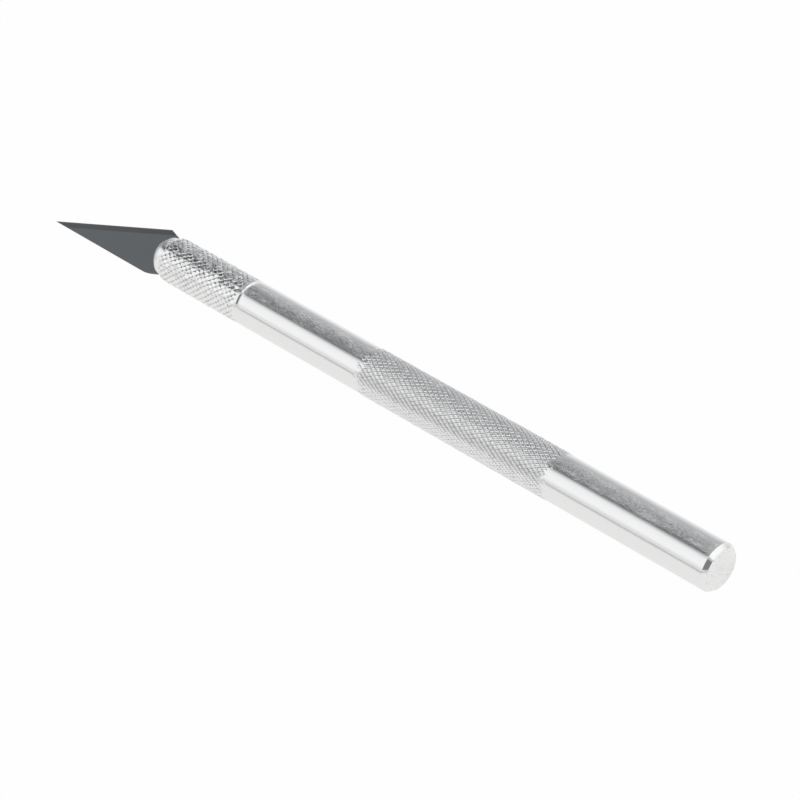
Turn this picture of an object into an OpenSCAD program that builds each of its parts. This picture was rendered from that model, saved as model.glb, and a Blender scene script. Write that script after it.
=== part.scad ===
// Craft knife: a knurled rod handle with a chuck that holds a pointed blade.
// The knife lies along X, point towards -X and butt towards +X, on the surface Z = 0.
// The origin is under the middle of its length.

/* [Handle] */
// Diameter of the smooth rod
handle_d = 7.94; // [7.2:0.02:9]
// Length of the rod, from the butt to the chuck
handle_len = 99.65; // [92:0.05:120]
// Radial depth of the chamfer round the butt
butt_chamfer_depth = 0.56; // [0.2:0.02:1]
// Length of the butt chamfer along the rod
butt_chamfer_len = 0.68; // [0.2:0.02:1.2]
// Edge break round the front end
front_break = 0.15; // [0.05:0.01:0.4]

/* [Grip band] */
// Distance from the butt to the grip band
grip_start = 31; // [25:0.1:40]
// Length of the grip band
grip_len = 41.5; // [30:0.1:45]
// Number of knurl ridges round the rod, each way
grip_ridges = 32; // [20:2:40]
// Distance between ridges along the rod, rounded to fill the band
grip_pitch = 1.38; // [1:0.01:2]
// Height of the knurl points above the smooth rod
grip_rise = 0.12; // [0.04:0.01:0.25]
// Depth of the knurl grooves below its points
grip_depth = 0.32; // [0.15:0.01:0.45]

/* [Collar] */
// Length of the collar
collar_len = 20.95; // [18:0.05:26]
// Diameter over the collar's knurl points
collar_d = 7.96; // [7.7:0.02:9]
// Diameter of its rear edge and of the root of its smooth nose
collar_blank_d = 7.76; // [7.4:0.02:7.9]
// Number of knurl ridges round the collar, each way
collar_ridges = 24; // [16:2:32]
// Distance between ridges along the collar, rounded to fill its band
collar_pitch = 1.22; // [0.9:0.01:2]
// Depth of the collar's knurl grooves below its points
collar_depth = 0.4; // [0.2:0.01:0.5]
// Chamfer round the rear edge
rear_chamfer = 0.4; // [0.1:0.01:0.6]
// Length of the smooth land between the rear chamfer and the knurl
rear_land = 0.15; // [0.12:0.01:0.8]
// Length of the smooth, tapered nose
nose_len = 1.95; // [1.2:0.05:4]
// Diameter of the nose at its front
nose_d = 6.84; // [6.5:0.02:7.3]
// Edge break round the front of the nose
nose_break = 0.1; // [0.05:0.01:0.2]

/* [Collet] */
// Diameter of the collet's shank and stud
collet_d = 4.84; // [4.2:0.02:5.1]
// Largest diameter of the jaws
collet_head_d = 5.9; // [5.4:0.02:6.1]
// Length of the taper on the jaws
collet_taper_len = 2.65; // [2:0.05:6]
// How far the jaws stand out of the collar's nose
jaw_out = 0.85; // [0.2:0.05:1.2]
// Radial depth of the chamfer round the front of the jaws
jaw_chamfer_depth = 0.25; // [0.1:0.01:0.5]
// Length of that chamfer along the jaws
jaw_chamfer_len = 0.4; // [0.2:0.05:0.8]
// Length of the stud inside the handle
stud_len = 9; // [6:0.1:12]
// Chamfer on the end of the stud
stud_chamfer = 0.5; // [0.2:0.05:1]
// How far the slit runs past the end of the tang
slit_run_past = 2; // [0.5:0.1:4]
// How far the bore in the handle runs past the stud
bore_run_past = 2; // [0.5:0.1:4]

/* [Blade] */
// Roll of the blade and the jaws about the axis, from the edge pointing straight up
blade_roll = 45.5; // [0:0.5:90]
// Thickness of the blade
blade_t = 0.5; // [0.3:0.02:0.7]
// Reach of the point beyond the collar
blade_out = 26.15; // [20:0.05:35]
// Width of the blade, from its spine to the heel of its edge
blade_w = 8.55; // [7.6:0.05:9.5]
// Distance of the spine from the axis
spine_offset = 4.37; // [3.8:0.01:4.8]
// Distance of the edge's heel from the collar
edge_heel = 2.2; // [1.5:0.05:5]
// Distance from the collar at which the spine starts to curve in
spine_run = 3.65; // [3:0.05:8]
// Radius of the curve at the end of the spine
spine_curve_r = 7; // [2:0.1:8]
// Turn of the curve at the end of the spine
spine_turn = 19; // [5:1:22]
// Width of the blade across its shoulders
shoulder_w = 7.1; // [6.3:0.05:7.4]
// Radius between the shoulders and the tang
shoulder_fillet = 0.5; // [0.2:0.02:0.6]
// Width of the ground bevel along the edge
bevel_w = 1.05; // [0.5:0.05:2]
// Thickness left at the very edge
edge_land = 0.03; // [0.02:0.01:0.1]
// Length of the tang inside the chuck
tang_len = 16; // [10:0.1:18]
// Width of the oblong slot in the tang
tang_slot_w = 1.5; // [0.8:0.1:2]
// Length of the oblong slot in the tang
tang_slot_len = 7; // [3:0.1:8]
// Distance of the oblong slot from the end of the tang
tang_slot_inset = 2.2; // [1:0.1:3]

/* [Clearances] */
// Radial clearance of the collet in the collar and in the handle
collet_gap = 0.06; // [0.02:0.01:0.1]
// Clearance of the blade in its slit, on each side
blade_gap = 0.04; // [0.02:0.01:0.1]
// Clearance of the tang inside the collet's shank, on each edge
tang_inset = 0.12; // [0.05:0.01:0.4]
// Gap between the handle's front face and the collar
face_gap = 0.05; // [0.02:0.01:0.2]
// Gap between the collar's nose and the blade's shoulders
shoulder_gap = 0.1; // [0.05:0.01:0.5]

/* [Hidden] */
$fn = 96;
// Overrun of a cut past the face that it opens
over = 1;
// Depth of a knurl band's plain ends inside the smooth metal beside it
knurl_sink = 0.1;
// Step from the smooth metal down to a knurl band's plain ends
knurl_step = 0.02;
// Included angle of the drill point at the bottom of the bore
drill_point = 118;
// Straight pieces in each small curve of the blade's outline
curve_steps = 8;

handle_r = handle_d / 2;
grip_r = handle_r + grip_rise;
grip_end = grip_start + grip_len;
axis_height = grip_r;
collar_start = handle_len + face_gap;
collar_face = collar_start + collar_len;
overall_len = collar_face + blade_out;
butt_x = overall_len / 2;

collar_blank_r = collar_blank_d / 2;
rear_edge_len = rear_chamfer + rear_land;
collar_knurl_len = collar_len - rear_edge_len - nose_len;
collet_r = collet_d / 2;
collet_head_r = collet_head_d / 2;
collet_len = stud_len + face_gap + collar_len + jaw_out;
collet_start = handle_len - stud_len;
taper_slope = (collet_head_r - collet_r) / collet_taper_len;
mouth_len = collet_taper_len + jaw_chamfer_len - jaw_out;
bore_r = collet_r + collet_gap;
mouth_r = bore_r + taper_slope * mouth_len;
slit_len = jaw_out + tang_len + slit_run_past;

tang_r = collet_r - tang_inset;
shoulder_r = shoulder_w / 2;
heel = [blade_w - spine_offset, edge_heel];
point = [-spine_offset, blade_out];
edge_len = norm(point - heel);
edge_angle = atan2(point[1] - heel[1], point[0] - heel[0]);
bevel_slope = (blade_t - edge_land) / 2 / bevel_w;

// Points of an arc about a centre, from one angle to another
function arc(centre, r, from, to) = [
    for (i = [0:curve_steps])
        let (a = from + (to - from) * i / curve_steps)
        centre + r * [cos(a), sin(a)]
];

// Puts a shape whose +Z runs towards the point on the knife's axis, at a distance from the butt
module on_axis(from_butt) {
    translate([butt_x - from_butt, 0, axis_height])
        rotate([0, -90, 0])
            children();
}

// A turned shape, from its half outline of [radius, height] points
module turned(outline) {
    rotate_extrude()
        polygon(outline);
}

// A band of diamond knurl along +Z: rows of points and groove crossings that alternate both ways.
// Its plain ends lie inside the smooth metal of radius end_r on either side.
module knurl_band(ridges, pitch, length, end_r, point_r, groove_r) {
    columns = 2 * ridges;
    rows = 2 * round(length / pitch);
    plain_r = end_r - knurl_step;
    heights = [-knurl_sink, for (m = [0:rows]) length * m / rows, length + knurl_sink];
    last = len(heights) - 1;
    vertices = [
        for (m = [0:last], c = [0:columns - 1])
            let (
                plain = m < 2 || m > last - 2,
                r = plain ? plain_r : (m + c) % 2 == 0 ? groove_r : point_r,
                a = 360 * c / columns
            )
            [r * cos(a), r * sin(a), heights[m]]
    ];
    sides = [
        for (m = [0:last - 1], c = [0:columns - 1])
            let (
                next = (c + 1) % columns,
                low = m * columns + c,
                low_next = m * columns + next,
                high = low + columns,
                high_next = low_next + columns
            )
            each (m + c) % 2 == 0
                ? [[low, high_next, low_next], [low, high, high_next]]
                : [[low, high, low_next], [low_next, high, high_next]]
    ];
    bottom = [for (c = [0:columns - 1]) c];
    top = [for (c = [columns - 1:-1:0]) last * columns + c];
    polyhedron(vertices, concat([bottom], sides, [top]), convexity = 4);
}

// Blind bore for the stud, with its drill point, opening at the rod's front end
module stud_bore() {
    depth = stud_len + bore_run_past;
    turned([
        [0, handle_len - depth - bore_r / tan(drill_point / 2)],
        [bore_r, handle_len - depth],
        [bore_r, handle_len + over],
        [0, handle_len + over]
    ]);
}

// Solid rod with a chamfered butt, a knurled grip band and a bore for the collet's stud
module handle() {
    color("gainsboro")
    on_axis(0)
    union() {
        turned([
            [0, 0],
            [handle_r - butt_chamfer_depth, 0],
            [handle_r, butt_chamfer_len],
            [handle_r, grip_start],
            [0, grip_start]
        ]);
        translate([0, 0, grip_start])
            knurl_band(grip_ridges, grip_pitch, grip_len, handle_r, grip_r, grip_r - grip_depth);
        difference() {
            turned([
                [0, grip_end],
                [handle_r, grip_end],
                [handle_r, handle_len - front_break],
                [handle_r - front_break, handle_len],
                [0, handle_len]
            ]);
            stud_bore();
        }
    }
}

// Knurled sleeve that is turned by hand and closes the jaws with its tapered mouth
module collar() {
    nose_start = collar_len - nose_len;
    point_r = collar_d / 2;
    color("silver")
    on_axis(collar_start)
    difference() {
        union() {
            turned([
                [0, 0],
                [collar_blank_r - rear_chamfer, 0],
                [collar_blank_r, rear_chamfer],
                [collar_blank_r, rear_edge_len],
                [0, rear_edge_len]
            ]);
            translate([0, 0, rear_edge_len])
                knurl_band(collar_ridges, collar_pitch, collar_knurl_len, collar_blank_r,
                    point_r, point_r - collar_depth);
            turned([
                [0, nose_start],
                [collar_blank_r, nose_start],
                [nose_d / 2, collar_len - nose_break],
                [nose_d / 2 - nose_break, collar_len],
                [0, collar_len]
            ]);
        }
        turned([
            [0, -over],
            [bore_r, -over],
            [bore_r, collar_len - mouth_len],
            [mouth_r, collar_len],
            [mouth_r, collar_len + over],
            [0, collar_len + over]
        ]);
    }
}

// Stud, shank and tapered head in one piece, slit into two jaws
module collet() {
    color("darkgray")
    on_axis(collet_start)
    difference() {
        turned([
            [0, 0],
            [collet_r - stud_chamfer, 0],
            [collet_r, stud_chamfer],
            [collet_r, collet_len - jaw_chamfer_len - collet_taper_len],
            [collet_head_r, collet_len - jaw_chamfer_len],
            [collet_head_r - jaw_chamfer_depth, collet_len],
            [0, collet_len]
        ]);
        rotate([0, 0, blade_roll])
        translate([0, 0, collet_len - slit_len / 2 + over / 2])
            cube([collet_head_d + over, blade_t + 2 * blade_gap, slit_len + over], center = true);
    }
}

// Outline of the blade as [distance from the axis, distance from the collar] points, edge side first
function blade_outline() =
    let (
        fillet_r = tang_r + shoulder_fillet,
        fillet_low = shoulder_gap - shoulder_fillet,
        curve_centre = [spine_curve_r - spine_offset, spine_run]
    )
    concat(
        [point, heel, [shoulder_r, shoulder_gap]],
        arc([fillet_r, fillet_low], shoulder_fillet, 90, 180),
        [[tang_r, -tang_len], [-tang_r, -tang_len]],
        arc([-fillet_r, fillet_low], shoulder_fillet, 0, 90),
        [[-shoulder_r, shoulder_gap]],
        arc(curve_centre, spine_curve_r, 180 + spine_turn, 180)
    );

// Wedge that grinds one face of the blade down to its edge
module bevel_cut() {
    translate([heel[0], heel[1], 0])
    rotate([0, 0, edge_angle])
    translate([-blade_w, 0, 0])
    rotate([90, 0, 90])
    linear_extrude(height = edge_len + 2 * blade_w)
        polygon([
            [-over, edge_land / 2 - bevel_slope * over],
            [bevel_w + over, blade_t / 2 + bevel_slope * over],
            [-over, blade_t / 2 + bevel_slope * over]
        ]);
}

// Oblong slot through the tang
module tang_slot() {
    slot_r = tang_slot_w / 2;
    slot_low = tang_slot_inset + slot_r - tang_len;
    slot_high = slot_low + tang_slot_len - tang_slot_w;
    for (end = [slot_low, slot_high])
        translate([0, end, 0])
            cylinder(r = slot_r, h = blade_t + over, center = true);
    translate([-slot_r, slot_low, -(blade_t + over) / 2])
        cube([tang_slot_w, slot_high - slot_low, blade_t + over]);
}

// Flat pointed blade with a bevel ground on both faces and a narrower tang
module blade() {
    color("dimgray")
    on_axis(collar_face)
    rotate([0, 0, blade_roll])
    rotate([90, 0, 0])
    difference() {
        linear_extrude(height = blade_t, center = true)
            polygon(blade_outline());
        bevel_cut();
        mirror([0, 0, 1])
            bevel_cut();
        tang_slot();
    }
}

handle();
collar();
collet();
blade();
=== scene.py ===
"""Craft knife: fine turned meshes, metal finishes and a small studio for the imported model."""

import logging
import math
from abc import ABC, abstractmethod
from dataclasses import dataclass
from enum import Enum
from typing import Callable, ClassVar, Mapping, Optional, Sequence, Tuple, Union

import bmesh
import bpy
from mathutils import Matrix, Vector


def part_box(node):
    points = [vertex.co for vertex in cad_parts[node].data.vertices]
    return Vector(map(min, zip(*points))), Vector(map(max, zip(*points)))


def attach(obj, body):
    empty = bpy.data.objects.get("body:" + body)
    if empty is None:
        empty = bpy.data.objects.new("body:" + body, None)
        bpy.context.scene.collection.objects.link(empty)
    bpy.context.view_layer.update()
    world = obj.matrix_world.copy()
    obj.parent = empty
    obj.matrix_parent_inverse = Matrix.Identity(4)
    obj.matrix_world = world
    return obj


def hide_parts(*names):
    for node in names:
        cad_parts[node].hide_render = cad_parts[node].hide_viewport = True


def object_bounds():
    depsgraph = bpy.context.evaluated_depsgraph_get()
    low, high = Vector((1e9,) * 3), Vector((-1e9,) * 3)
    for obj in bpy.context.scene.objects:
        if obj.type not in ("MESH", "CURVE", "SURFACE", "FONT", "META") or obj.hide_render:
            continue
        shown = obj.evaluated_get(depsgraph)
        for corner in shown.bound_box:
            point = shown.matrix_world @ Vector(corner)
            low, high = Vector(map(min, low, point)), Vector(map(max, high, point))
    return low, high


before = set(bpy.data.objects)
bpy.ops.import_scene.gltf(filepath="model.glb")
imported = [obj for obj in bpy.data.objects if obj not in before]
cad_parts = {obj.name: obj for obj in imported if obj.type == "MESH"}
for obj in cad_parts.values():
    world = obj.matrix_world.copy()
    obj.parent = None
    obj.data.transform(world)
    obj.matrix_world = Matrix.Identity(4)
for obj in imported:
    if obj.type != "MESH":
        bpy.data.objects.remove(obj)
CAD_LOW, CAD_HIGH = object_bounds()

LOG = logging.getLogger("craft_knife")
MM = 0.001
FULL_TURN = 2 * math.pi
# Vertices closer than this, in metres, are one.
MERGE_DISTANCE = 1e-7
# A vertex this close to a named place, in millimetres, lies on it.
NEAR = 1e-3
# About the radius of the rod, in millimetres, which turns an angle into a length round it.
ARC_RADIUS = 4.0
# Roll of the blade and of the slit that holds it about the axis, in degrees.
BLADE_ROLL = 45.5

Outline = Sequence[Tuple[float, float]]
Colour = Tuple[float, float, float, float]
Step = Tuple[float, float]
Levels = Sequence[Tuple[float, float]]


class Body(Enum):
    """The knife's bodies, which are also its nodes."""

    HANDLE = "handle"
    COLLAR = "collar"
    COLLET = "collet"
    BLADE = "blade"


class Slot(Enum):
    """The record's material slots."""

    HANDLE = "handle_aluminium"
    COLLAR = "collar_aluminium"
    COLLET = "collet_steel"
    BLADE = "blade_steel"


class Top(Enum):
    """Shapes of the tops between a knurl's grooves."""

    DIAMOND = "diamond"
    DOT = "dot"


class Draw(Enum):
    """What differs from one top of a knurl to the next, each with its own seed."""

    LEAN_FIRST = 1.0
    LEAN_SECOND = 2.0
    WEAR = 3.0
    RAGGED = 4.0
    HOLLOW = 5.0
    SIZE = 6.0


def grey(level: float, cool: float = 0.0) -> Colour:
    """A grey, made slightly blue by cool."""
    return (level * (1 - cool), level, level * (1 + cool), 1.0)


class Value:
    """A number or colour that varies over a surface: one output socket of a node tree."""

    def __init__(self, graph: "Graph", socket: bpy.types.NodeSocket) -> None:
        """Wraps a socket of a graph."""
        self.graph = graph
        self.socket = socket

    def __add__(self, other: "Number") -> "Value":
        """Sum."""
        return self.graph.maths("ADD", self, other)

    def __radd__(self, other: "Number") -> "Value":
        """Sum, reflected."""
        return self.graph.maths("ADD", other, self)

    def __sub__(self, other: "Number") -> "Value":
        """Difference."""
        return self.graph.maths("SUBTRACT", self, other)

    def __rsub__(self, other: "Number") -> "Value":
        """Difference, reflected."""
        return self.graph.maths("SUBTRACT", other, self)

    def __mul__(self, other: "Number") -> "Value":
        """Product."""
        return self.graph.maths("MULTIPLY", self, other)

    def __rmul__(self, other: "Number") -> "Value":
        """Product, reflected."""
        return self.graph.maths("MULTIPLY", other, self)

    def __truediv__(self, other: "Number") -> "Value":
        """Quotient."""
        return self.graph.maths("DIVIDE", self, other)

    def __pow__(self, other: "Number") -> "Value":
        """Power."""
        return self.graph.maths("POWER", self, other)

    def __neg__(self) -> "Value":
        """Opposite."""
        return self.graph.maths("MULTIPLY", self, -1.0)

    def ramp(self, low: float, high: float) -> "Value":
        """Smooth step from 0 at low to 1 at high, or the other way round where low is the larger.

        Args:
            low: Value at which the step is 0.
            high: Value at which the step is 1.

        Returns:
            The step, between 0 and 1.
        """
        if low > high:
            return 1.0 - self.ramp(high, low)
        return self.graph.value(
            "ShaderNodeMapRange",
            {"interpolation_type": "SMOOTHSTEP"},
            {"Value": self, "From Min": low, "From Max": high, "To Min": 0.0, "To Max": 1.0},
        )


Number = Union[Value, float, int]


class Graph:
    """A node tree that is written as expressions."""

    def __init__(self, tree: bpy.types.NodeTree) -> None:
        """Empties a node tree and keeps it."""
        tree.nodes.clear()
        self.tree = tree

    def node(
        self,
        kind: str,
        settings: Optional[Mapping[str, object]] = None,
        inputs: Optional[Mapping[Union[str, int], object]] = None,
    ) -> bpy.types.Node:
        """Adds any node.

        Args:
            kind: Type name of the node.
            settings: Its properties, with a ramp's stops as (place, colour) pairs under "stops".
            inputs: Values or links of its sockets, by name or number.

        Returns:
            The new node.
        """
        node = self.tree.nodes.new(kind)
        for name, setting in (settings or {}).items():
            if name == "stops":
                self._set_stops(node.color_ramp.elements, setting)
            else:
                setattr(node, name, setting)
        for name, given in (inputs or {}).items():
            socket = node.inputs[name]
            if isinstance(given, Value):
                self.tree.links.new(given.socket, socket)
            elif isinstance(given, bpy.types.NodeSocket):
                self.tree.links.new(given, socket)
            else:
                socket.default_value = given
        return node

    def value(
        self,
        kind: str,
        settings: Optional[Mapping[str, object]] = None,
        inputs: Optional[Mapping[Union[str, int], object]] = None,
        output: Union[str, int] = 0,
    ) -> Value:
        """Adds any node and wraps one of its outputs."""
        return Value(self, self.node(kind, settings, inputs).outputs[output])

    def maths(self, operation: str, *terms: Number) -> Value:
        """Adds a Math node on up to three terms."""
        return self.value("ShaderNodeMath", {"operation": operation}, dict(enumerate(terms)))

    def mix(self, share: Number, first: object, second: object) -> Value:
        """Mixes two colours.

        Args:
            share: Share of the second colour.
            first: Colour, or a link to one.
            second: Colour, or a link to one.

        Returns:
            The mixed colour.
        """
        inputs = {0: share, 6: first, 7: second}
        return self.value("ShaderNodeMix", {"data_type": "RGBA"}, inputs, 2)

    def coordinates(self, kind: str) -> Tuple[Value, Value, Value]:
        """X, Y and Z of one of the Texture Coordinate node's outputs.

        Args:
            kind: Name of the output.

        Returns:
            The three values.
        """
        coords = self.node("ShaderNodeTexCoord").outputs[kind]
        parts = self.node("ShaderNodeSeparateXYZ", None, {0: coords})
        return tuple(Value(self, parts.outputs[i]) for i in range(3))

    def place(self) -> Tuple[Value, Value, Value]:
        """The X, Y and Z of a point of the surface, in the knife's frame."""
        return self.coordinates("Object")

    def mark(self, name: str) -> Value:
        """A number that the mesh carries at its vertices."""
        return self.value("ShaderNodeAttribute", {"attribute_name": name}, None, "Fac")

    def vector(self, x: Number, y: Number, z: Number) -> Value:
        """Joins three numbers to a vector."""
        return self.value("ShaderNodeCombineXYZ", None, {0: x, 1: y, 2: z})

    def noise(self, at: Value, detail: float, rough: float) -> Value:
        """Smooth noise about 0.5, with one bump to each unit of the vector."""
        inputs = {"Vector": at, "Scale": 1.0, "Detail": detail, "Roughness": rough}
        return self.value("ShaderNodeTexNoise", {"normalize": True}, inputs, "Fac")

    def bump(self, height: Value, depth: float) -> Value:
        """Turns a height between 0 and 1 into a normal.

        Args:
            height: Height of the surface, between 0 and 1.
            depth: Size of that height in metres.

        Returns:
            The bent normal.
        """
        inputs = {"Height": height, "Strength": 1.0, "Distance": depth}
        return self.value("ShaderNodeBump", None, inputs, "Normal")

    @staticmethod
    def _set_stops(
        elements: bpy.types.ColorRampElements,
        stops: Sequence[Tuple[float, Colour]],
    ) -> None:
        """Sets a ramp's stops.

        Args:
            elements: The stops that the new ramp has.
            stops: The place and colour of each stop.
        """
        while len(elements) < len(stops):
            elements.new(1.0)
        for element, (place, colour) in zip(elements, stops):
            element.position = place
            element.color = colour


def metal(name: str, dress: Callable[[Graph], Mapping[str, object]]) -> bpy.types.Material:
    """Makes a metal from a Principled shader.

    Args:
        name: Name of the material.
        dress: Adds the finish's nodes and gives the shader's sockets.

    Returns:
        The material.
    """
    material = bpy.data.materials.new(name)
    material.use_nodes = True
    graph = Graph(material.node_tree)
    sockets = {"Metallic": 1.0, **dress(graph)}
    shader = graph.node("ShaderNodeBsdfPrincipled", None, sockets)
    graph.node("ShaderNodeOutputMaterial", None, {"Surface": shader.outputs[0]})
    return material


@dataclass(frozen=True)
class Spot:
    """A point of a turned surface, in millimetres and radians.

    along is its distance from the butt, radius its distance from the axis, turn its angle about
    the axis from straight up, and around that angle as a length round the rod.
    """

    along: Value
    radius: Value
    turn: Value
    around: Value

    def side(self, middle: float, step: Step) -> Value:
        """Share of a band along the rod.

        Args:
            middle: Turn of the middle of the band.
            step: Cosines of the angles from the middle at which the band starts and is full.

        Returns:
            The share, between 0 and 1.
        """
        return self.turn.graph.maths("COSINE", self.turn - middle).ramp(*step)


@dataclass(frozen=True)
class Pattern:
    """Noise on a turned surface, in bumps to each millimetre along, round and out from the axis."""

    along: float
    around: float
    out: float
    detail: float
    rough: float

    def on(self, graph: Graph, spot: Spot) -> Value:
        """Adds the noise.

        Args:
            graph: Node tree of the finish.
            spot: The point of the surface.

        Returns:
            The noise, about 0.5.
        """
        at = graph.vector(
            spot.along * self.along,
            spot.around * self.around,
            spot.radius * self.out,
        )
        return graph.noise(at, self.detail, self.rough)


@dataclass(frozen=True)
class KnifeAxis:
    """The axis that the knife is turned about, in metres."""

    butt_x: float
    height: float

    def point(self, along: float, radius: float) -> Vector:
        """Point above the axis, from its distance to the butt and its radius in millimetres."""
        return Vector((self.butt_x - along * MM, 0.0, self.height + radius * MM))

    def polar(self, co: Vector) -> Tuple[float, float, float]:
        """Distance from the butt and radius in millimetres, and turn from straight up."""
        rise = co.z - self.height
        return (self.butt_x - co.x) / MM, math.hypot(co.y, rise) / MM, math.atan2(co.y, rise)

    def set_radius(self, vert: bmesh.types.BMVert, radius: float) -> None:
        """Moves a vertex straight out or in.

        Args:
            vert: The vertex.
            radius: Its new radius in millimetres.
        """
        _, _, turn = self.polar(vert.co)
        vert.co.y = radius * MM * math.sin(turn)
        vert.co.z = self.height + radius * MM * math.cos(turn)

    def surface(self, graph: Graph) -> Spot:
        """Place of a point of a turned surface.

        Args:
            graph: Node tree that the values are added to.

        Returns:
            The place.
        """
        x, y, z = graph.place()
        rise = z - self.height
        radius = (y * y + rise * rise) ** 0.5
        turn = graph.maths("ARCTAN2", y, rise)
        return Spot((self.butt_x - x) / MM, radius / MM, turn, turn * ARC_RADIUS)


@dataclass(frozen=True)
class Lathe:
    """Turns closed meshes about the knife's axis."""

    axis: KnifeAxis
    columns: int
    corner_segments: int = 3

    def turn(self, outline: Outline, ring: bool = False) -> bmesh.types.BMesh:
        """Spins an outline of (distance from the butt, radius) points, in millimetres.

        Args:
            outline: The points, from the axis to the axis, or round a ring's section.
            ring: Whether the outline is closed.

        Returns:
            The turned mesh.
        """
        bm = bmesh.new()
        verts = [bm.verts.new(self.axis.point(along, radius)) for along, radius in outline]
        pairs = zip(verts, verts[1:] + verts[:1] if ring else verts[1:])
        edges = [bm.edges.new(pair) for pair in pairs]
        bmesh.ops.spin(
            bm,
            geom=verts + edges,
            cent=(0.0, 0.0, self.axis.height),
            axis=(1.0, 0.0, 0.0),
            angle=FULL_TURN,
            steps=self.columns,
            use_merge=True,
        )
        bmesh.ops.remove_doubles(bm, verts=bm.verts, dist=MERGE_DISTANCE)
        bmesh.ops.recalc_face_normals(bm, faces=bm.faces)
        return bm

    def soften(self, bm: bmesh.types.BMesh, along: float, radius: float, width: float) -> None:
        """Rounds one turned corner.

        Args:
            bm: The turned mesh.
            along: The corner's distance from the butt, in millimetres.
            radius: Its radius.
            width: Width of the rounding.
        """
        def on_corner(vert: bmesh.types.BMVert) -> bool:
            """Whether a vertex lies on the corner."""
            place, reach, _ = self.axis.polar(vert.co)
            return abs(place - along) < NEAR and abs(reach - radius) < NEAR

        edges = [edge for edge in bm.edges if all(on_corner(vert) for vert in edge.verts)]
        bmesh.ops.bevel(
            bm,
            geom=edges,
            offset=width * MM,
            offset_type="OFFSET",
            segments=self.corner_segments,
            profile=0.5,
            affect="EDGES",
            material=-1,
        )


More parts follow.
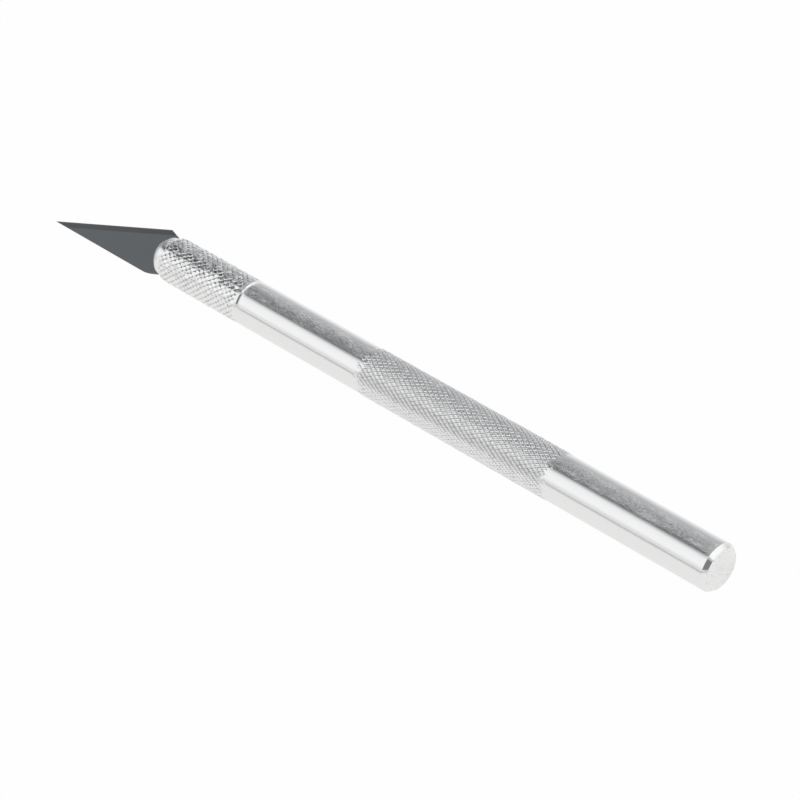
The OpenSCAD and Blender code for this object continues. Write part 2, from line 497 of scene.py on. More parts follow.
@dataclass(frozen=True)
class Knurl:
    """A band of crossed knurl with worn, slightly uneven tops and ragged ends, in millimetres.

    Attributes:
        top: Shape of the tops.
        start: Distance of the band from the butt.
        length: Length of the band.
        ridges: Ridges round the band, in each of the two directions.
        rows: Rows of tops along the band.
        point_r: Radius of the highest points.
        groove_r: Radius of the bottoms of the grooves.
        plain_r: Radius of the blank.
        fine: Faces across half a top.
        depths: Depths of the two sets of grooves, beside each other.
        groove_share: Share of a top that its grooves' flanks take.
        dimple: Depth of the hollow in a top.
        tilt: How far tops lean.
        wear: How far tops are worn down.
        dark: How fast the painted shade of a groove fades up its flanks.
        ragged: Rows over which the ends are uneven.
        taper_from: Distance from the butt at which the blank starts to taper.
        taper: Fall of the blank's radius to each millimetre from there.
    """

    top: Top
    start: float
    length: float
    ridges: int
    rows: int
    point_r: float
    groove_r: float
    plain_r: float
    fine: int
    depths: Tuple[float, float]
    groove_share: float
    dimple: float
    tilt: float
    wear: float
    dark: float
    ragged: float
    taper_from: float = math.inf
    taper: float = 0.0

    hash_weights: ClassVar[Tuple[float, float, float]] = (12.9898, 78.233, 43758.5453)
    dot_reach: ClassVar[float] = 1.25
    dot_crown: ClassVar[float] = 0.18
    dot_size: ClassVar[Tuple[float, float]] = (0.85, 0.3)
    diamond_power: ClassVar[float] = 1.5
    hollow_reach: ClassVar[float] = 0.5
    hollow_depth: ClassVar[Tuple[float, float]] = (0.3, 0.7)

    @property
    def end(self) -> float:
        """Distance of the band's far end from the butt."""
        return self.start + self.length

    @property
    def columns(self) -> int:
        """Columns of faces round the band."""
        return 2 * self.ridges * self.fine

    def outline(self) -> Outline:
        """The band's plain outline.

        Returns:
            A point for every row of faces.
        """
        steps = self.rows * self.fine
        places = [self.start + self.length * i / steps for i in range(steps + 1)]
        return [(along, self.blank(along)) for along in places]

    def blank(self, along: float) -> float:
        """Radius of the turned blank before it is knurled."""
        return self.plain_r - self.taper * max(0.0, along - self.taper_from)

    def chance(self, cell: Tuple[int, int], draw: Draw) -> float:
        """A number between 0 and 1 that belongs to one top.

        Args:
            cell: The top's place among the others, in both directions.
            draw: What the number is for.

        Returns:
            The number, which is the same in every run.
        """
        first, second, spread = self.hash_weights
        number = math.sin(cell[0] * first + cell[1] * second + draw.value) * spread
        return number - math.floor(number)

    def groove(self, inside: Tuple[float, float], size: float) -> float:
        """Share of the full depth at a place inside one top.

        Args:
            inside: The place, between -1 and 1 from groove to groove in both directions.
            size: Size of a round top beside the others.

        Returns:
            The depth, 0 on the top and 1 at the bottom of a groove.
        """
        if self.top is Top.DOT:
            squares = sum(d * f * f for d, f in zip(self.depths, inside))
            reach = math.sqrt(squares) / (self.dot_reach * size)
            fall = min(max((reach - 1) / self.groove_share + 1, 0.0), 1.0)
            crown = self.dot_crown * min(reach, 1.0) ** 2
            return crown + (1 - self.dot_crown) * fall * fall * (3 - 2 * fall)
        sides = (min((1 - abs(f)) / self.groove_share, 1.0) for f in inside)
        return max(d * (1 - side) ** self.diamond_power for d, side in zip(self.depths, sides))

    def form(self, along: float, turn: float) -> Tuple[float, float, float]:
        """Shape of the knurl at a distance from the butt and a turn about the axis.

        Args:
            along: Distance from the butt.
            turn: Turn from straight up, in radians.

        Returns:
            The radius, where two sets of grooves cross and every top is a little different, and
            two shares: how far the knurl is formed and how deep in a groove the place is.
        """
        row = (along - self.start) / self.length * self.rows
        column = turn / math.pi * self.ridges
        place = ((column + row + 1) / 2, (column - row + 1) / 2)
        corner = tuple(math.floor(p) for p in place)
        inside = tuple(2 * (p - c) - 1 for p, c in zip(place, corner))
        cell = tuple(c % self.ridges for c in corner)
        least, more = self.dot_size
        flank = 1 - self.groove(inside, least + more * self.chance(cell, Draw.SIZE))
        least, more = self.hollow_depth
        hollow = max(0.0, 1 - sum(f * f for f in inside) / self.hollow_reach) ** 2
        hollow = hollow * (least + more * self.chance(cell, Draw.HOLLOW))
        leans = zip(inside, (Draw.LEAN_FIRST, Draw.LEAN_SECOND))
        lean = sum(f * (self.chance(cell, draw) - 0.5) for f, draw in leans)
        worn = 1 - self.wear * self.chance(cell, Draw.WEAR) + self.tilt * lean
        top = flank * worn - self.dimple * hollow
        formed = min(row, self.rows - row) - self.ragged * self.chance(cell, Draw.RAGGED)
        formed = max(0.0, min(formed, 1.0))
        rise = self.groove_r + (self.point_r - self.groove_r) * top - self.plain_r
        return self.blank(along) + rise * formed, formed, formed * max(0.0, 1 - self.dark * flank)

    def cut(self, bm: bmesh.types.BMesh, axis: KnifeAxis) -> None:
        """Cuts the knurl into the outer rows of a turned mesh and marks how it is formed.

        Args:
            bm: The turned mesh.
            axis: The knife's axis.
        """
        formed = bm.verts.layers.float.new("formed")
        groove = bm.verts.layers.float.new("groove")
        for vert in bm.verts:
            along, radius, turn = axis.polar(vert.co)
            if self.start <= along <= self.end and abs(radius - self.blank(along)) < NEAR:
                radius, vert[formed], vert[groove] = self.form(along, turn)
                axis.set_radius(vert, radius)


def add_piece(
    name: str,
    bm: bmesh.types.BMesh,
    material: bpy.types.Material,
    body: Body,
    slot: Slot,
    sharp: float,
) -> bpy.types.Object:
    """Puts a finished mesh in the scene, in the place of its node.

    Args:
        name: Name of the piece.
        bm: Its mesh, which is freed.
        material: Its finish.
        body: The body that it rides on, whose node it replaces.
        slot: The record's material slot; not used.
        sharp: Angle in degrees past which an edge stays sharp.

    Returns:
        The piece.
    """
    mesh = bpy.data.meshes.new(name)
    for face in bm.faces:
        face.smooth = True
    bm.to_mesh(mesh)
    bm.free()
    mesh.set_sharp_from_angle(angle=math.radians(sharp))
    mesh.materials.append(material)
    piece = bpy.data.objects.new(name, mesh)
    bpy.context.scene.collection.objects.link(piece)
    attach(piece, body.value)
    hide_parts(body.value)
    LOG.info("%s: %d faces", name, len(mesh.polygons))
    return piece


@dataclass
class Skin:
    """What varies over a bright surface while its finish is put together.

    formed and groove say how far the knurl is formed and how deep in a groove a point lies, grain
    is the metal's grain, and level, rough and height become its colour, roughness and normal.
    """

    formed: Value
    groove: Value
    grain: Value
    level: Value
    rough: Value
    height: Value


class Detail(ABC):
    """Something that a bright finish has in one place."""

    @abstractmethod
    def add(self, graph: Graph, spot: Spot, skin: Skin) -> None:
        """Changes the skin.

        Args:
            graph: Node tree of the finish.
            spot: The point of the surface.
            skin: What varies over the surface.
        """


@dataclass(frozen=True)
class BurrsAndShadeBand(Detail):
    """Fine burrs on the tops of a knurl, with a dark band of painted shade along one flank."""

    knurl: Knurl
    relief: float = 0.42
    painted_shade_turn: float = -1.204
    painted_shade_step: Step = (0.955, 0.998)
    top_shade: float = 0.15
    painted_groove_shade: float = 0.07

    def add(self, graph: Graph, spot: Spot, skin: Skin) -> None:
        """Raises the burrs and paints the band of shade along the side.

        Args:
            graph: Node tree of the finish.
            spot: The point of the surface.
            skin: What varies over the surface.
        """
        rows_per_mm = self.knurl.rows / self.knurl.length
        row = spot.along * rows_per_mm - self.knurl.start * rows_per_mm
        column = spot.turn * (self.knurl.ridges / math.pi)
        first = graph.maths("COSINE", (column + row) * FULL_TURN)
        second = graph.maths("COSINE", (column - row) * FULL_TURN)
        skin.height = skin.height - self.relief * skin.formed * (first + second)
        # Painted shade: tops and grooves darker in a band along one flank, in place of a smeared
        # reflection of a dark line.
        shade = self.top_shade * skin.formed + self.painted_groove_shade * skin.groove
        skin.level = skin.level - shade * spot.side(self.painted_shade_turn, self.painted_shade_step)


@dataclass(frozen=True)
class EndFace(Detail):
    """Turning rings and small pits on the butt's face, in millimetres."""

    edge: Step = (0.06, 0.02)
    ring_pitch: float = 0.16
    ring_relief: float = 0.15
    grain_relief: float = 0.6
    pits_per_mm: float = 2.0
    pit_detail: float = 2.0
    pit_rough: float = 0.6
    pit_step: Step = (0.58, 0.7)
    pit_shade: float = 0.22
    added_rough: float = 0.14

    def add(self, graph: Graph, spot: Spot, skin: Skin) -> None:
        """Turns the rings and sinks the pits.

        Args:
            graph: Node tree of the finish.
            spot: The point of the surface.
            skin: What varies over the surface.
        """
        face = spot.along.ramp(*self.edge)
        rings = graph.maths("SINE", spot.radius * (FULL_TURN / self.ring_pitch))
        relief = self.ring_relief * rings + self.grain_relief * skin.grain
        skin.height = skin.height + face * relief
        _, y, z = graph.place()
        per_metre = self.pits_per_mm / MM
        at = graph.vector(y * per_metre, z * per_metre, 0.0)
        pits = graph.noise(at, self.pit_detail, self.pit_rough).ramp(*self.pit_step)
        skin.level = skin.level - self.pit_shade * face * pits
        skin.rough = skin.rough + self.added_rough * face


@dataclass(frozen=True)
class DullRim(Detail):
    """Duller metal past a distance from the butt, in millimetres."""

    start: float
    width: float = 0.08
    shade: float = 0.12
    added_rough: float = 0.4

    def add(self, graph: Graph, spot: Spot, skin: Skin) -> None:
        """Dulls the rim.

        Args:
            graph: Node tree of the finish; not used.
            spot: The point of the surface.
            skin: What varies over the surface.
        """
        rim = spot.along.ramp(self.start, self.start + self.width)
        skin.level = skin.level - self.shade * rim
        skin.rough = skin.rough + self.added_rough * rim


@dataclass(frozen=True)
class BrightAluminium:
    """Bright turned aluminium with worn knurl and fine flecks along the rod's upper side.

    tint is the brightness of the cleanest metal, rough and knurl_rough are the roughness beside
    and on the knurl, and painted_groove_shade is how much painted shade darkens a groove, most
    on the lower side. A turn is measured from straight up, and a step holds the values at which a
    smooth step starts and ends.
    """

    name: str
    tint: float
    rough: float
    knurl_rough: float
    painted_groove_shade: float
    details: Tuple[Detail, ...] = ()
    plain_level: float = 0.97
    relief_mm: float = 0.03
    streaks: Pattern = Pattern(0.4, 4.0, 1.0, 2.0, 0.6)
    streak_shade: float = 0.06
    streak_relief: float = 0.15
    grain: Pattern = Pattern(3.2, 5.6, 5.6, 2.0, 0.6)
    grain_rough: float = 0.04
    grain_relief: float = 0.08
    scuffs: Pattern = Pattern(0.25, 0.8, 1.0, 2.0, 0.5)
    scuff_step: Step = (0.4, 0.62)
    scuff_relief: float = 0.14
    flecks: Pattern = Pattern(2.2, 3.4, 3.4, 3.0, 0.65)
    fleck_turn: float = -0.19
    fleck_step: Step = (0.91, 0.98)
    fleck_start: Step = (0.6, 0.8)
    fleck_least: float = 0.6
    fleck_shade: float = 0.8
    fleck_rough: float = 0.05
    fleck_rough_step: Step = (0.48, 0.6)
    fleck_relief: float = 5.0
    # Painted shade: the side on which the grooves are darkest, and the share of it that they keep
    # elsewhere.
    painted_shade_turn: float = -2.0
    painted_shade_step: Step = (-0.7, 0.1)
    painted_shade_least: float = 0.25

    def skin(self, graph: Graph, spot: Spot) -> Skin:
        """Metal as it comes from the lathe and the knurling tool, after some use.

        Args:
            graph: Node tree of the finish.
            spot: The point of the surface.

        Returns:
            What varies over the surface.
        """
        formed = graph.mark("formed")
        groove = graph.mark("groove")
        streaks = self.streaks.on(graph, spot)
        grain = self.grain.on(graph, spot)
        chips = self.flecks.on(graph, spot)
        scuffs = self.scuffs.on(graph, spot).ramp(*self.scuff_step)
        upper = spot.side(self.fleck_turn, self.fleck_step)
        upper = upper * (self.fleck_least + (1 - self.fleck_least) * scuffs) * (1.0 - formed)
        upper = upper * spot.along.ramp(*self.fleck_start)
        flecks = (chips - 0.5) * upper
        # Painted shade: grooves are darker in colour, in full on the lower side and by a quarter
        # elsewhere.
        painted_shade = spot.side(self.painted_shade_turn, self.painted_shade_step)
        painted_shade = self.painted_shade_least + (1 - self.painted_shade_least) * painted_shade
        level = self.plain_level + (1 - self.plain_level) * formed - self.streak_shade * streaks
        level = level - self.painted_groove_shade * groove * painted_shade - self.fleck_shade * flecks
        rough = self.rough + self.grain_rough * grain
        rough = rough + self.fleck_rough * chips.ramp(*self.fleck_rough_step) * upper
        rough = rough + (self.knurl_rough - self.rough) * formed
        height = (grain - 0.5) * (self.grain_relief + self.scuff_relief * scuffs)
        height = height + self.fleck_relief * flecks + self.streak_relief * streaks
        return Skin(formed, groove, grain, level, rough, height)

    def material(self, axis: KnifeAxis) -> bpy.types.Material:
        """Makes the finish for a turned piece whose knurl is marked in its mesh.

        Args:
            axis: The knife's axis.

        Returns:
            The material.
        """
        def dress(graph: Graph) -> Mapping[str, object]:
            """Adds the nodes of the finish.

            Args:
                graph: Node tree of the finish.

            Returns:
                The shader's sockets.
            """
            spot = axis.surface(graph)
            skin = self.skin(graph, spot)
            for detail in self.details:
                detail.add(graph, spot, skin)
            return {
                "Base Color": graph.mix(skin.level, grey(0.0), grey(self.tint)),
                "Roughness": skin.rough,
                "Normal": graph.bump(skin.height, self.relief_mm * MM),
            }

        return metal(self.name, dress)


@dataclass(frozen=True)
class TurnedSteel:
    """Plain turned steel with fine rings and faint stains."""

    name: str
    tint: float
    rough: float
    cool: float = 0.01
    relief_mm: float = 0.004
    rings: Pattern = Pattern(22.0, 0.15, 22.0, 2.0, 0.5)
    ring_shade: float = 0.12
    stains: Pattern = Pattern(0.9, 0.5, 1.0, 3.0, 0.6)
    stain_shade: float = 0.1
    stain_rough: float = 0.12

    def material(self, axis: KnifeAxis) -> bpy.types.Material:
        """Makes the finish for the collet.

        Args:
            axis: The knife's axis.

        Returns:
            The material.
        """
        def dress(graph: Graph) -> Mapping[str, object]:
            """Adds the nodes of the finish.

            Args:
                graph: Node tree of the finish.

            Returns:
                The shader's sockets.
            """
            spot = axis.surface(graph)
            rings = self.rings.on(graph, spot)
            stains = self.stains.on(graph, spot)
            level = 1.0 - self.ring_shade * rings - self.stain_shade * stains
            return {
                "Base Color": graph.mix(level, grey(0.0), grey(self.tint, self.cool)),
                "Roughness": self.rough + self.stain_rough * stains,
                "Normal": graph.bump(rings, self.relief_mm * MM),
            }

        return metal(self.name, dress)


@dataclass(frozen=True)
class BladeSteel:
    """Dark rolled carbon steel with a ground bevel along the edge.

    face, bevel and edge are the brightness of the rolled faces, the bevel and the honed edge. A
    tone is a share of the face's brightness and how cool it is, and a scale holds a pattern's
    bumps to each millimetre in two directions and its layer of the noise.
    """

    name: str
    face: float
    bevel: float
    edge: float
    dark_tone: Tuple[float, float] = (0.94, 0.03)
    light_tone: Tuple[float, float] = (1.06, 0.08)
    bevel_cool: float = 0.02
    edge_cool: float = 0.01
    grain_scale: Tuple[float, float, float] = (0.8, 14.0, 0.0)
    cloud_scale: Tuple[float, float, float] = (0.16, 0.3, 4.0)
    line_scale: Tuple[float, float, float] = (0.7, 13.0, 2.0)
    rough: float = 0.36
    grain_rough: float = 0.1
    ground_smooth: float = 0.06
    relief_mm: float = 0.003
    line_relief: float = 1.2
    line_lean: Tuple[float, float] = (0.94, 0.34)
    bevel_blur: float = 0.06
    honed: Step = (0.16, 0.05)

    def material(self, blade: "Blade") -> bpy.types.Material:
        """Makes the finish for the blade.

        Args:
            blade: The blade, whose edge the bevel follows.

        Returns:
            The material.
        """
        def dress(graph: Graph) -> Mapping[str, object]:
            """Adds the nodes of the finish.

            Args:
                graph: Node tree of the finish.

            Returns:
                The shader's sockets.
            """
            reach, run, depth = blade.surface(graph)
            along, across = self.line_lean
            slant = reach * along - run * across
            grain = self._noise(graph, reach, run, self.grain_scale, 3.0, 0.6)
            cloud = self._noise(graph, reach, run, self.cloud_scale, 2.0, 0.5)
            lines = self._noise(graph, depth, slant, self.line_scale, 2.0, 0.5)
            ground = depth.ramp(blade.bevel_w + self.bevel_blur, blade.bevel_w - self.bevel_blur)
            dark, light = (
                grey(self.face * share, cool) for share, cool in (self.dark_tone, self.light_tone)
            )
            colour = graph.mix(ground, graph.mix(cloud, dark, light), grey(self.bevel, self.bevel_cool))
            colour = graph.mix(depth.ramp(*self.honed), colour, grey(self.edge, self.edge_cool))
            height = grain * (1.0 - ground) + self.line_relief * lines * ground
            return {
                "Base Color": colour,
                "Roughness": self.rough + self.grain_rough * grain - self.ground_smooth * ground,
                "Normal": graph.bump(height, self.relief_mm * MM),
            }

        return metal(self.name, dress)

    @staticmethod
    def _noise(
        graph: Graph,
        first: Value,
        second: Value,
        scale: Tuple[float, float, float],
        detail: float,
        rough: float,
    ) -> Value:
        """Adds noise over two lengths, by a scale."""
        along, across, layer = scale
        return graph.noise(graph.vector(first * along, second * across, layer), detail, rough)


@dataclass(frozen=True)
class Handle:
    """Solid rod with a chamfered butt, a grip band and a tapped bore, in millimetres."""

    axis: KnifeAxis
    finish: BrightAluminium
    radius: float = 3.97
    length: float = 99.65
    butt_chamfer_depth: float = 0.56
    butt_chamfer_len: float = 0.68
    butt_round: float = 0.05
    front_break: float = 0.15
    front_round: float = 0.04
    bore_r: float = 2.48
    bore_depth: float = 11.0
    drill_half_angle: float = 59.0
    face_ring: float = 0.45
    butt_ring: float = 2.0
    ring_gap: float = 1.0
    grip_gap: float = 0.05
    sharp: float = 40.0
    grip: Knurl = Knurl(
        top=Top.DIAMOND,
        start=31.0,
        length=41.5,
        ridges=32,
        rows=60,
        point_r=4.09,
        groove_r=3.87,
        plain_r=3.965,
        fine=4,
        depths=(0.75, 1.0),
        groove_share=0.6,
        dimple=0.3,
        tilt=0.35,
        wear=0.3,
        dark=1.6,
        ragged=2.0,
    )

    def outline(self) -> Outline:
        """Half outline of the rod and its bore, with rings that keep the shading even.

        Returns:
            The points, from the middle of the butt's face to the end of the bore.
        """
        bore_end = self.length - self.bore_depth
        point = bore_end - self.bore_r / math.tan(math.radians(self.drill_half_angle))
        return [
            (0.0, 0.0),
            (0.0, self.radius * self.face_ring),
            (0.0, self.radius - self.butt_chamfer_depth),
            (self.butt_chamfer_len, self.radius),
            (self.butt_ring, self.radius),
            (self.grip.start - self.ring_gap, self.radius),
            (self.grip.start - self.grip_gap, self.radius),
            *self.grip.outline(),
            (self.grip.end + self.grip_gap, self.radius),
            (self.grip.end + self.ring_gap, self.radius),
            (self.length - self.ring_gap, self.radius),
            (self.length - self.front_break, self.radius),
            (self.length, self.radius - self.front_break),
            (self.length, self.bore_r),
            (bore_end, self.bore_r),
            (point, 0.0),
        ]

    def build(self) -> bpy.types.Object:
        """Turns the rod, cuts its grip and dresses it.

        Returns:
            The piece.
        """
        lathe = Lathe(self.axis, self.grip.columns)
        bm = lathe.turn(self.outline())
        self.grip.cut(bm, self.axis)
        lathe.soften(bm, 0.0, self.radius - self.butt_chamfer_depth, self.butt_round)
        lathe.soften(bm, self.butt_chamfer_len, self.radius, self.butt_round)
        lathe.soften(bm, self.length - self.front_break, self.radius, self.front_round)
        material = self.finish.material(self.axis)
        return add_piece("handle_rod", bm, material, Body.HANDLE, Slot.HANDLE, self.sharp)


@dataclass(frozen=True)
class Collar:
    """Knurled sleeve with a tapered nose and mouth, in millimetres."""

    axis: KnifeAxis
    finish: BrightAluminium
    start: float = 99.7
    length: float = 20.95
    rear_chamfer: float = 0.4
    rear_round: float = 0.04
    nose_r: float = 3.42
    nose_land: float = 0.35
    nose_break: float = 0.1
    nose_round: float = 0.06
    bore_r: float = 2.48
    mouth_r: float = 2.92
    mouth_len: float = 2.2
    sharp: float = 40.0
    knurl: Knurl = Knurl(
        top=Top.DOT,
        start=100.25,
        length=19.065,
        ridges=24,
        rows=31,
        point_r=4.02,
        groove_r=3.885,
        plain_r=3.895,
        fine=7,
        depths=(1.0, 0.75),
        groove_share=0.46,
        dimple=0.25,
        tilt=1.1,
        wear=0.45,
        dark=1.1,
        ragged=0.6,
        taper_from=118.7,
        taper=0.2875,
    )

    @property
    def front(self) -> float:
        """Distance of the front face from the butt."""
        return self.start + self.length

    def outline(self) -> Outline:
        """Section of the sleeve.

        Returns:
            The points, round the section.
        """
        blank = self.knurl.plain_r
        return [
            (self.start, self.bore_r),
            (self.start, blank - self.rear_chamfer),
            (self.start + self.rear_chamfer, blank),
            *self.knurl.outline(),
            (self.front - self.nose_land, self.nose_r),
            (self.front - self.nose_break, self.nose_r),
            (self.front, self.nose_r - self.nose_break),
            (self.front, self.mouth_r),
            (self.front - self.mouth_len, self.bore_r),
        ]

    def build(self) -> bpy.types.Object:
        """Turns the sleeve, cuts its knurl and dresses it.

        Returns:
            The piece.
        """
        blank = self.knurl.plain_r
        lathe = Lathe(self.axis, self.knurl.columns)
        bm = lathe.turn(self.outline(), ring=True)
        self.knurl.cut(bm, self.axis)
        lathe.soften(bm, self.start + self.rear_chamfer, blank, self.rear_round)
        lathe.soften(bm, self.start, blank - self.rear_chamfer, self.rear_round)
        lathe.soften(bm, self.front - self.nose_break, self.nose_r, self.nose_round)
        material = self.finish.material(self.axis)
        return add_piece("collar_sleeve", bm, material, Body.COLLAR, Slot.COLLAR, self.sharp)


@dataclass(frozen=True)
class Collet:
    """Threaded stud, shank and two tapered jaws, in millimetres."""

    axis: KnifeAxis
    finish: TurnedSteel
    start: float = 90.65
    front: float = 121.5
    slit_end: float = 102.65
    radius: float = 2.42
    head_r: float = 2.95
    taper_len: float = 2.65
    jaw_chamfer_depth: float = 0.25
    jaw_chamfer_len: float = 0.4
    stud_chamfer: float = 0.5
    stud_len: float = 9.0
    stud_plain: float = 1.0
    thread_pitch: float = 0.794
    thread_depth: float = 0.3
    thread_runout: float = 0.6
    rows_per_pitch: int = 8
    slit_half: float = 0.29
    roll: float = BLADE_ROLL
    columns: int = 96
    sharp: float = 30.0

    def stud(self) -> bmesh.types.BMesh:
        """Turns the stud and the root of the jaws, and cuts the thread.

        Returns:
            The mesh.
        """
        rows = self.rows_per_pitch * round((self.stud_len - self.stud_plain) / self.thread_pitch)
        first = self.start + self.stud_chamfer
        last = self.start + self.stud_len - self.thread_runout
        thread = [(first + (last - first) * i / rows, self.radius) for i in range(rows + 1)]
        bm = Lathe(self.axis, self.columns).turn([
            (self.start, 0.0),
            (self.start, self.radius - self.stud_chamfer),
            *thread,
            (self.start + self.stud_len, self.radius),
            (self.slit_end, self.radius),
            (self.slit_end, 0.0),
        ])
        for vert in bm.verts:
            along, radius, turn = self.axis.polar(vert.co)
            if first - NEAR <= along <= last + NEAR and radius > self.radius - NEAR:
                phase = (along - first) / self.thread_pitch - turn / FULL_TURN
                fall = abs(2 * (phase - math.floor(phase)) - 1)
                fade = min(1.0, (last - along) / self.thread_pitch)
                self.axis.set_radius(vert, self.radius - self.thread_depth * fall * fade)
        return bm

    def jaw(self) -> bmesh.types.BMesh:
        """Turns the head and cuts away all but one jaw.

        Returns:
            The mesh.
        """
        taper = self.front - self.jaw_chamfer_len
        bm = Lathe(self.axis, self.columns).turn([
            (self.slit_end, 0.0),
            (self.slit_end, self.radius),
            (taper - self.taper_len, self.radius),
            (taper, self.head_r),
            (self.front, self.head_r - self.jaw_chamfer_depth),
            (self.front, 0.0),
        ])
        roll = math.radians(self.roll)
        across = Vector((0.0, -math.cos(roll), math.sin(roll)))
        cut = bmesh.ops.bisect_plane(
            bm,
            geom=bm.verts[:] + bm.edges[:] + bm.faces[:],
            plane_co=Vector((0.0, 0.0, self.axis.height)) + across * self.slit_half * MM,
            plane_no=across,
            clear_inner=True,
        )
        rim = [item for item in cut["geom_cut"] if isinstance(item, bmesh.types.BMEdge)]
        bmesh.ops.holes_fill(bm, edges=rim, sides=0)
        bmesh.ops.recalc_face_normals(bm, faces=bm.faces)
        return bm

    def build(self) -> bpy.types.Object:
        """Joins the stud and two jaws and dresses them.

        Returns:
            The piece.
        """
        bm = self.stud()
        jaw = self.jaw()
        jaw_mesh = bpy.data.meshes.new("jaw")
        jaw.to_mesh(jaw_mesh)
        jaw.free()
        to_axis = Matrix.Translation((0.0, 0.0, -self.axis.height))
        from_axis = Matrix.Translation((0.0, 0.0, self.axis.height))
        half_turn = from_axis @ Matrix.Rotation(math.pi, 4, "X") @ to_axis
        bm.from_mesh(jaw_mesh)
        jaw_mesh.transform(half_turn)
        bm.from_mesh(jaw_mesh)
        bpy.data.meshes.remove(jaw_mesh)
        material = self.finish.material(self.axis)
        return add_piece("collet_jaws", bm, material, Body.COLLET, Slot.COLLET, self.sharp)


@dataclass(frozen=True)
class Blade:
    """Flat pointed blade, which keeps its CAD mesh, in millimetres."""

    axis: KnifeAxis
    finish: BladeSteel
    collar_front: float = 120.65
    roll: float = BLADE_ROLL
    out: float = 26.15
    width: float = 8.55
    spine_offset: float = 4.37
    edge_heel: float = 2.2
    bevel_w: float = 1.05

    def surface(self, graph: Graph) -> Tuple[Value, Value, Value]:
        """Place of a point of the blade.

        Args:
            graph: Node tree that the values are added to.

        Returns:
            Its distance from the collar, its distance from the axis towards the edge, and its
            distance from the edge, all in millimetres.
        """
        x, y, z = graph.place()
        roll = math.radians(self.roll)
        reach = (self.axis.butt_x - x) / MM - self.collar_front
        run = (y * math.sin(roll) + (z - self.axis.height) * math.cos(roll)) / MM
        heel = self.width - self.spine_offset
        slant = math.atan2(self.width, self.out - self.edge_heel)
        depth = (heel - run) * math.cos(slant) - (reach - self.edge_heel) * math.sin(slant)
        return reach, run, depth

    def dress(self) -> bpy.types.Object:
        """Gives the blade's node its finish.

        Returns:
            The node's object.
        """
        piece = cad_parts[Body.BLADE.value]
        piece.data.materials.clear()
        piece.data.materials.append(self.finish.material(self))
        LOG.info("blade: %d faces", len(piece.data.polygons))
        return piece


# Light by angle in degrees, from the front horizon at 0 over the top to the back one at 180.
FRONT_GLOW: Levels = ((-90, 0.9), (-8, 0.72), (0, 0.74), (6, 0.84), (14, 0.95))
POINT_SIDE: Levels = (
    (-180, 0.74), *FRONT_GLOW, (20, 0.98), (42, 0.95), (52, 0.88), (58, 0.68), (64, 0.38),
    (69, 0.175), (89, 0.165), (96, 0.24), (102, 0.39), (108, 0.42), (118, 0.41), (138, 0.34),
    (150, 0.44), (164, 0.61), (180, 0.74),
)
AHEAD: Levels = (
    (-180, 1.0), *FRONT_GLOW, (54, 0.97), (66, 0.8), (75, 0.4), (85, 0.12), (104, 0.05),
    (120, 0.08), (132, 0.25), (141, 0.5), (150, 0.85), (160, 1.0), (180, 1.0),
)
OVERHEAD: Levels = (
    (-180, 0.9), *FRONT_GLOW, (60, 0.97), (70, 0.8), (80, 0.6), (100, 0.6), (120, 0.7),
    (140, 0.8), (160, 0.95), (180, 0.95),
)
BUTT_SIDE: Levels = (
    (-180, 0.5), (-160, 0.8), (-20, 0.8), (-2, 0.35), (4, 0.22), (54, 0.22), (64, 0.6),
    (74, 1.05), (140, 1.05), (160, 0.85), (180, 0.5),
)


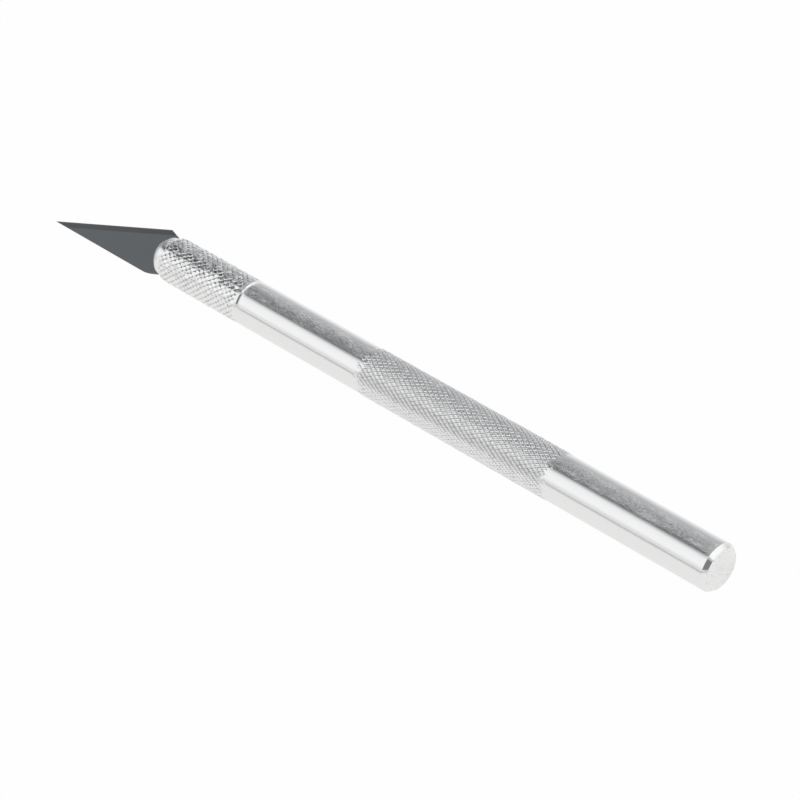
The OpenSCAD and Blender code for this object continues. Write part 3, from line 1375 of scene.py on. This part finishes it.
@dataclass(frozen=True)
class Studio:
    """White floor, soft light from all round, and the camera.

    right_mm, down_mm and ahead_mm are where the camera sees the middle of the butt. The sheet is
    the stretch of floor that shows in the metal, with its depth and end in metres; it glows with
    painted grey stripes and a dark band of painted shade for the metal to reflect. ahead_x,
    overhead_x and butt_side_x are the x of the directions between which one part of the light
    gives way to the next.
    """

    axis: KnifeAxis
    azimuth: float = 44.7
    elevation: float = 35.2
    lens: float = 132.4
    sensor: float = 36.0
    right_mm: float = 46.68
    down_mm: float = 24.64
    ahead_mm: float = 427.63
    floor_half: float = 2.5
    floor_gap: float = 0.00002
    floor_white: float = 0.82
    floor_seen: float = 0.98
    floor_mirrored: float = 0.8
    sheet_depth: float = 0.16
    sheet_end: Step = (-0.09, -0.12)
    sheet_past: float = 0.96
    sky_cool: float = 0.045
    ahead_x: Step = (-0.64, -0.74)
    overhead_x: Step = (-0.43, -0.18)
    butt_side_x: Step = (-0.1, 0.4)

    def camera(self) -> None:
        """Places the camera, from where it sees the middle of the butt."""
        turn = math.radians(self.azimuth)
        tilt = math.radians(self.elevation)
        level = math.cos(tilt)
        right = Vector((math.cos(turn), math.sin(turn), 0.0))
        back = Vector((math.sin(turn) * level, -math.cos(turn) * level, math.sin(tilt)))
        up = back.cross(right)
        butt = self.axis.point(0.0, 0.0)
        data = bpy.data.cameras.new("camera")
        data.lens = self.lens
        data.sensor_width = self.sensor
        data.clip_start = 0.01
        data.clip_end = 20.0
        camera = bpy.data.objects.new("camera", data)
        camera.matrix_world = Matrix((
            (right.x, up.x, back.x, 0.0),
            (right.y, up.y, back.y, 0.0),
            (right.z, up.z, back.z, 0.0),
            (0.0, 0.0, 0.0, 1.0),
        ))
        seen_at = right * self.right_mm - up * self.down_mm - back * self.ahead_mm
        camera.location = butt - MM * seen_at
        bpy.context.scene.collection.objects.link(camera)
        bpy.context.scene.camera = camera

    def floor(self) -> None:
        """Lays the white floor, which keeps the knife's shadow and shows in its metal with painted
        shade.
        """
        bm = bmesh.new()
        bmesh.ops.create_grid(bm, x_segments=2, y_segments=2, size=self.floor_half)
        bmesh.ops.translate(bm, verts=bm.verts, vec=(0.0, 0.0, CAD_LOW.z - self.floor_gap))
        mesh = bpy.data.meshes.new("floor")
        bm.to_mesh(mesh)
        bm.free()
        material = bpy.data.materials.new("white_floor")
        material.use_nodes = True
        graph = Graph(material.node_tree)
        paths = graph.node("ShaderNodeLightPath")
        seen = Value(graph, paths.outputs["Is Camera Ray"])
        mirrored = Value(graph, paths.outputs["Is Glossy Ray"])
        passed = Value(graph, paths.outputs["Is Transmission Ray"])
        share = self.floor_seen * seen + self.floor_mirrored * mirrored
        share = share + self.floor_mirrored * passed
        x, y, _ = graph.place()
        depth = y / self.sheet_depth + 0.5
        # Painted light and shade seen only in reflections: grey stripes across the floor, with a dark
        # band a few centimetres in front of the knife.
        stops = [
            (0.0, grey(0.85)), (0.06, grey(0.58)), (0.31, grey(0.58)), (0.37, grey(0.91, -0.006)),
            (0.62, grey(1.0, -0.006)), (0.88, grey(0.86)), (1.0, grey(0.84)),
        ]
        sheet = graph.value("ShaderNodeValToRGB", {"stops": stops}, {0: depth})
        sheet = graph.mix(x.ramp(*self.sheet_end), sheet, grey(self.sheet_past))
        glow = graph.mix(mirrored, grey(1.0), sheet)
        paper = graph.node("ShaderNodeBsdfDiffuse", None, {"Color": grey(self.floor_white)})
        white = graph.node("ShaderNodeEmission", None, {"Color": glow, "Strength": 1.0})
        inputs = {0: share, 1: paper.outputs[0], 2: white.outputs[0]}
        both = graph.node("ShaderNodeMixShader", None, inputs)
        graph.node("ShaderNodeOutputMaterial", None, {"Surface": both.outputs[0]})
        mesh.materials.append(material)
        floor = bpy.data.objects.new("floor", mesh)
        bpy.context.scene.collection.objects.link(floor)

    def world(self) -> None:
        """Lights the knife from all round: a dark roof towards the point, a light one at the butt."""
        world = bpy.data.worlds.new("studio")
        bpy.context.scene.world = world
        world.use_nodes = True
        graph = Graph(world.node_tree)
        x, y, z = graph.coordinates("Generated")
        lift = graph.maths("ARCTAN2", z, -y) / FULL_TURN + 0.5
        seen = Value(graph, graph.node("ShaderNodeLightPath").outputs["Is Camera Ray"])
        light = self._sweep(graph, lift, POINT_SIDE)
        light = graph.mix(x.ramp(*self.ahead_x), light, self._sweep(graph, lift, AHEAD))
        light = graph.mix(x.ramp(*self.overhead_x), light, self._sweep(graph, lift, OVERHEAD))
        light = graph.mix(x.ramp(*self.butt_side_x), light, self._sweep(graph, lift, BUTT_SIDE))
        shade = graph.node("ShaderNodeBackground", None, {"Color": light, "Strength": 1.0})
        paper = graph.node("ShaderNodeBackground", None, {"Color": grey(1.0), "Strength": 1.0})
        inputs = {0: seen, 1: shade.outputs[0], 2: paper.outputs[0]}
        both = graph.node("ShaderNodeMixShader", None, inputs)
        graph.node("ShaderNodeOutputWorld", None, {"Surface": both.outputs[0]})

    def _sweep(self, graph: Graph, lift: Value, levels: Levels) -> Value:
        """Grey levels by the angle from the front horizon over the top to the back one.

        Args:
            graph: The world's node tree.
            lift: That angle, scaled to 0 to 1 over a whole turn.
            levels: Pairs of an angle in degrees and its level, of which the darker are cooler.

        Returns:
            The colour.
        """
        stops = [
            ((angle + 180.0) / 360.0, grey(level, self.sky_cool * (1 - level)))
            for angle, level in levels
        ]
        return graph.value("ShaderNodeValToRGB", {"stops": stops}, {0: lift})


def main() -> None:
    """Builds the pieces in order and sets the scene."""
    logging.basicConfig(level=logging.INFO, format="%(message)s")
    scene = bpy.context.scene
    scene.view_settings.view_transform = "Standard"
    low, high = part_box(Body.HANDLE.value)
    axis = KnifeAxis(high.x, (low.z + high.z) / 2)
    rod = BrightAluminium(
        name="bright_rod",
        tint=0.97,
        rough=0.06,
        knurl_rough=0.18,
        painted_groove_shade=0.27,
        details=(BurrsAndShadeBand(Handle.grip), EndFace()),
    )
    sleeve = BrightAluminium(
        name="knurled_sleeve",
        tint=0.97,
        rough=0.05,
        knurl_rough=0.1,
        painted_groove_shade=0.5,
        details=(DullRim(start=120.25),),
    )
    Handle(axis, rod).build()
    Collar(axis, sleeve).build()
    Collet(axis, TurnedSteel(name="turned_steel", tint=0.72, rough=0.3)).build()
    Blade(axis, BladeSteel(name="dark_blade_steel", face=0.16, bevel=0.19, edge=0.32)).dress()
    studio = Studio(axis)
    studio.camera()
    studio.floor()
    studio.world()


if __name__ == "__main__":
    main()
